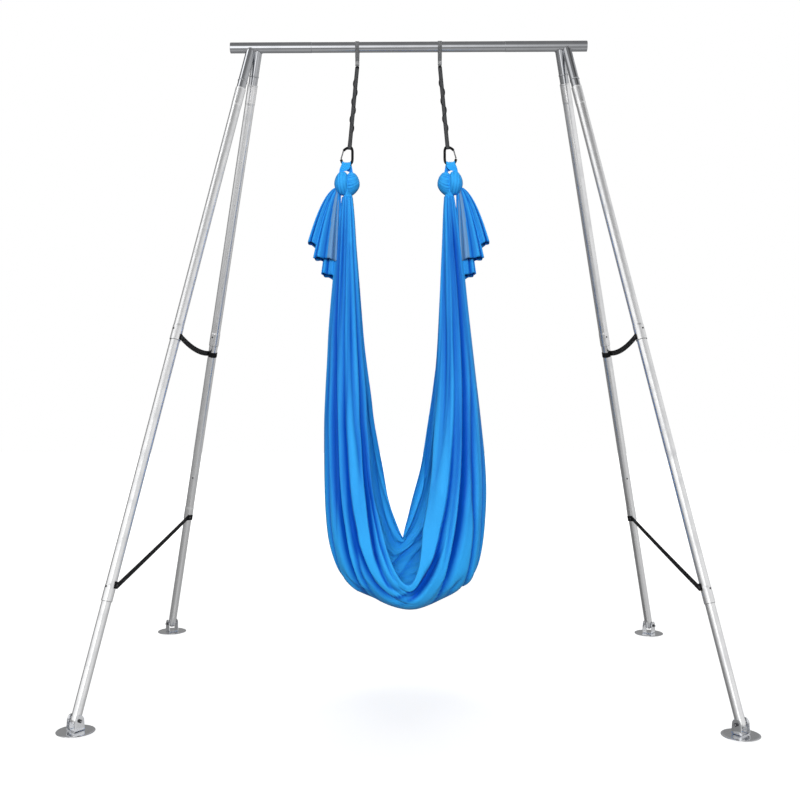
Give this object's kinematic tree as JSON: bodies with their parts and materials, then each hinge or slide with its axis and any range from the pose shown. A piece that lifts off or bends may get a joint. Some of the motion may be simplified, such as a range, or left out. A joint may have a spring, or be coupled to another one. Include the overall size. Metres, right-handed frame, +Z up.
{
  "type": "aerial yoga frame",
  "caption": "Chrome A-frame stand on splayed plug-together legs, with a top bar and a pleated cloth hammock hung by webbing, carabiners and knots",
  "frame": {"origin": "on the floor, in the middle of the four feet", "axes": "+Z up; +X along the top bar, to the right in the picture; +Y from front to rear"},
  "size_m": [2.7224, 1.745, 2.9323],
  "materials": {
    "bar_chrome": "polished",
    "tube_chrome": "polished",
    "foot_chrome": "polished",
    "bolt_steel": "satin",
    "button_steel": "dark",
    "black_webbing": "woven",
    "grey_webbing": "woven",
    "chain_webbing": "woven",
    "black_alloy": "anodised black",
    "gate_alloy": "satin",
    "blue_cloth": "matte knit"
  },
  "bodies": {
    "frame": {"bar_middle": "bar_chrome", "head_left": "bar_chrome", "head_right": "bar_chrome", "front_left_upper_tube": "tube_chrome", "front_left_middle_tube": "tube_chrome", "front_left_lower_tube": "tube_chrome", "front_right_upper_tube": "tube_chrome", "front_right_middle_tube": "tube_chrome", "front_right_lower_tube": "tube_chrome", "rear_left_upper_tube": "tube_chrome", "rear_left_middle_tube": "tube_chrome", "rear_left_lower_tube": "tube_chrome", "rear_right_upper_tube": "tube_chrome", "rear_right_middle_tube": "tube_chrome", "rear_right_lower_tube": "tube_chrome", "upper_strap_left": "black_webbing", "lower_strap_left": "black_webbing", "upper_strap_bolt_left": "bolt_steel", "lower_strap_front_bolt_left": "bolt_steel", "lower_strap_rear_bolt_left": "bolt_steel", "upper_strap_right": "black_webbing", "lower_strap_right": "black_webbing", "upper_strap_bolt_right": "bolt_steel", "lower_strap_front_bolt_right": "bolt_steel", "lower_strap_rear_bolt_right": "bolt_steel"},
    "front_left_foot": {"front_left_foot_plate": "foot_chrome", "front_left_foot_bracket": "foot_chrome", "front_left_foot_bolt": "bolt_steel"},
    "front_right_foot": {"front_right_foot_plate": "foot_chrome", "front_right_foot_bracket": "foot_chrome", "front_right_foot_bolt": "bolt_steel"},
    "rear_left_foot": {"rear_left_foot_plate": "foot_chrome", "rear_left_foot_bracket": "foot_chrome", "rear_left_foot_bolt": "bolt_steel"},
    "rear_right_foot": {"rear_right_foot_plate": "foot_chrome", "rear_right_foot_bracket": "foot_chrome", "rear_right_foot_bolt": "bolt_steel"},
    "front_left_upper_button": {"front_left_upper_button": "button_steel"},
    "front_left_lower_button": {"front_left_lower_button": "button_steel"},
    "front_right_upper_button": {"front_right_upper_button": "button_steel"},
    "front_right_lower_button": {"front_right_lower_button": "button_steel"},
    "rear_left_upper_button": {"rear_left_upper_button": "button_steel"},
    "rear_left_lower_button": {"rear_left_lower_button": "button_steel"},
    "rear_right_upper_button": {"rear_right_upper_button": "button_steel"},
    "rear_right_lower_button": {"rear_right_lower_button": "button_steel"},
    "slings": {"bar_sling_left": "grey_webbing", "bar_sling_right": "grey_webbing", "daisy_chain_left": "chain_webbing", "daisy_chain_right": "chain_webbing", "carabiner_left": "black_alloy", "carabiner_right": "black_alloy"},
    "gate_left": {"gate_left": "gate_alloy"},
    "gate_right": {"gate_right": "gate_alloy"},
    "hammock": {"knot_left": "blue_cloth", "knot_right": "blue_cloth", "tail_left": "blue_cloth", "tail_right": "blue_cloth", "hammock_cloth": "blue_cloth"}
  },
  "joints": [
    {"name": "front_left_foot_tilt", "type": "hinge", "parent": "frame", "child": "front_left_foot", "pos_m": [-1.28622, -0.79745, 0.045], "axis": [-0.8192, 0.5735, 0], "range_deg": [-30, 30]},
    {"name": "front_right_foot_tilt", "type": "hinge", "parent": "frame", "child": "front_right_foot", "pos_m": [1.28622, -0.79745, 0.045], "axis": [-0.8192, -0.5735, 0], "range_deg": [-30, 30]},
    {"name": "rear_left_foot_tilt", "type": "hinge", "parent": "frame", "child": "rear_left_foot", "pos_m": [-1.28572, 0.79745, 0.045], "axis": [0.804, 0.5946, 0], "range_deg": [-30, 30]},
    {"name": "rear_right_foot_tilt", "type": "hinge", "parent": "frame", "child": "rear_right_foot", "pos_m": [1.28572, 0.79745, 0.045], "axis": [0.804, -0.5946, 0], "range_deg": [-30, 30]},
    {"name": "front_left_upper_button_press", "type": "slide", "parent": "frame", "child": "front_left_upper_button", "axis": [0.5208, 0.7906, -0.322], "range_m": [0, 0.0047], "stiffness_N_per_m": 2500},
    {"name": "front_left_lower_button_press", "type": "slide", "parent": "frame", "child": "front_left_lower_button", "axis": [0.5208, 0.7906, -0.322], "range_m": [0, 0.005], "stiffness_N_per_m": 2500},
    {"name": "front_right_upper_button_press", "type": "slide", "parent": "frame", "child": "front_right_upper_button", "axis": [-0.5208, 0.7906, -0.322], "range_m": [0, 0.0047], "stiffness_N_per_m": 2500},
    {"name": "front_right_lower_button_press", "type": "slide", "parent": "frame", "child": "front_right_lower_button", "axis": [-0.5208, 0.7906, -0.322], "range_m": [0, 0.005], "stiffness_N_per_m": 2500},
    {"name": "rear_left_upper_button_press", "type": "slide", "parent": "frame", "child": "rear_left_upper_button", "axis": [0.399, 0.9013, 0.169], "range_m": [0, 0.0047], "stiffness_N_per_m": 2500},
    {"name": "rear_left_lower_button_press", "type": "slide", "parent": "frame", "child": "rear_left_lower_button", "axis": [0.1365, 0.9612, 0.2398], "range_m": [0, 0.0042], "stiffness_N_per_m": 2500},
    {"name": "rear_right_upper_button_press", "type": "slide", "parent": "frame", "child": "rear_right_upper_button", "axis": [-0.399, 0.9013, 0.169], "range_m": [0, 0.0047], "stiffness_N_per_m": 2500},
    {"name": "rear_right_lower_button_press", "type": "slide", "parent": "frame", "child": "rear_right_lower_button", "axis": [-0.1365, 0.9612, 0.2398], "range_m": [0, 0.0042], "stiffness_N_per_m": 2500},
    {"name": "sling_swing", "type": "hinge", "parent": "frame", "child": "slings", "pos_m": [0, 0, 2.9055], "axis": [1, 0, 0], "range_deg": [-60, 60]},
    {"name": "gate_left_open", "type": "hinge", "parent": "slings", "child": "gate_left", "pos_m": [-0.3008, 0, 2.4242], "axis": [0, -1, 0], "range_deg": [0, 25], "stiffness_Nm_per_rad": 0.05},
    {"name": "gate_right_open", "type": "hinge", "parent": "slings", "child": "gate_right", "pos_m": [0.2108, 0, 2.4242], "axis": [0, 1, 0], "range_deg": [0, 25], "stiffness_Nm_per_rad": 0.05},
    {"name": "hammock_swing", "type": "hinge", "parent": "slings", "child": "hammock", "pos_m": [-0.045, 0, 2.363], "axis": [1, 0, 0], "range_deg": [-45, 45]}
  ]
}
